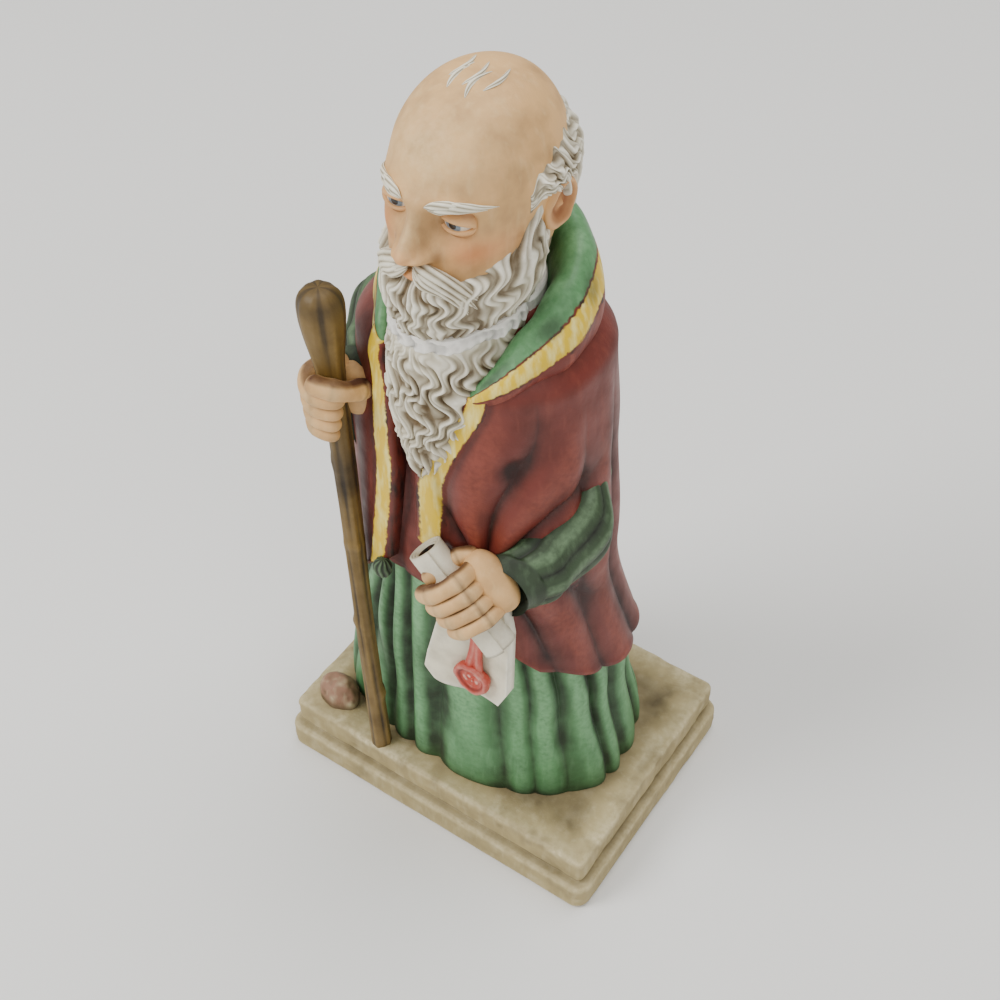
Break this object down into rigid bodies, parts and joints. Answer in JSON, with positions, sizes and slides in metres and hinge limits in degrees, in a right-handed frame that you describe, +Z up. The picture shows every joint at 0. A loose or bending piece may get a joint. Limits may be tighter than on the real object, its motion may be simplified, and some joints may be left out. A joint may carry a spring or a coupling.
{
  "type": "figural liquor decanter",
  "caption": "Porcelain decanter shaped as a robed, bearded figure with a staff and a scroll on a stepped plinth; its head is a cork stopper that lifts out of the neck.",
  "frame": {"origin": "middle of the plinth's flat underside", "axes": "+Z up along the neck; the figure faces -Y and its left hand is at +X"},
  "size_m": [0.122, 0.101, 0.278],
  "materials": {
    "stone_bisque": "matt painted bisque, cream over olive tan",
    "rock_bisque": "matt painted bisque, brownish pink",
    "green_bisque": "matt painted bisque, mid green with darker folds",
    "dark_green_bisque": "matt painted bisque, dark green to brown",
    "red_bisque": "matt painted bisque, brick red, worn paler on the ridges",
    "white_bisque": "matt bisque, off-white with a grey-brown wash",
    "white_glaze": "glossy white glaze",
    "skin_bisque": "matt painted bisque, tan with a brown wash in the hollows",
    "brown_bisque": "matt painted bisque, olive brown",
    "wax_red_bisque": "satin painted bisque, wax red",
    "glue": "hardened clear-yellow glue",
    "cork": "raw natural cork"
  },
  "bodies": {
    "decanter": {"plinth": "stone_bisque", "rock": "rock_bisque", "gown": "green_bisque", "torso": "red_bisque", "neck_collar": "white_glaze", "beard": "white_bisque", "mantle": "red_bisque", "hood": "green_bisque", "staff": "brown_bisque", "right_sleeve": "dark_green_bisque", "right_hand": "skin_bisque", "left_sleeve": "dark_green_bisque", "scroll": "white_bisque", "scroll_sheet": "white_bisque", "left_hand": "skin_bisque", "wax_seal": "wax_red_bisque", "ribbon": "wax_red_bisque"},
    "stopper": {"stopper_head": "skin_bisque", "glue": "glue", "cork": "cork"}
  },
  "joints": [
    {"name": "stopper_pull", "type": "slide", "parent": "decanter", "child": "stopper", "axis": [0, 0, 1], "range_m": [0, 0.06]}
  ]
}
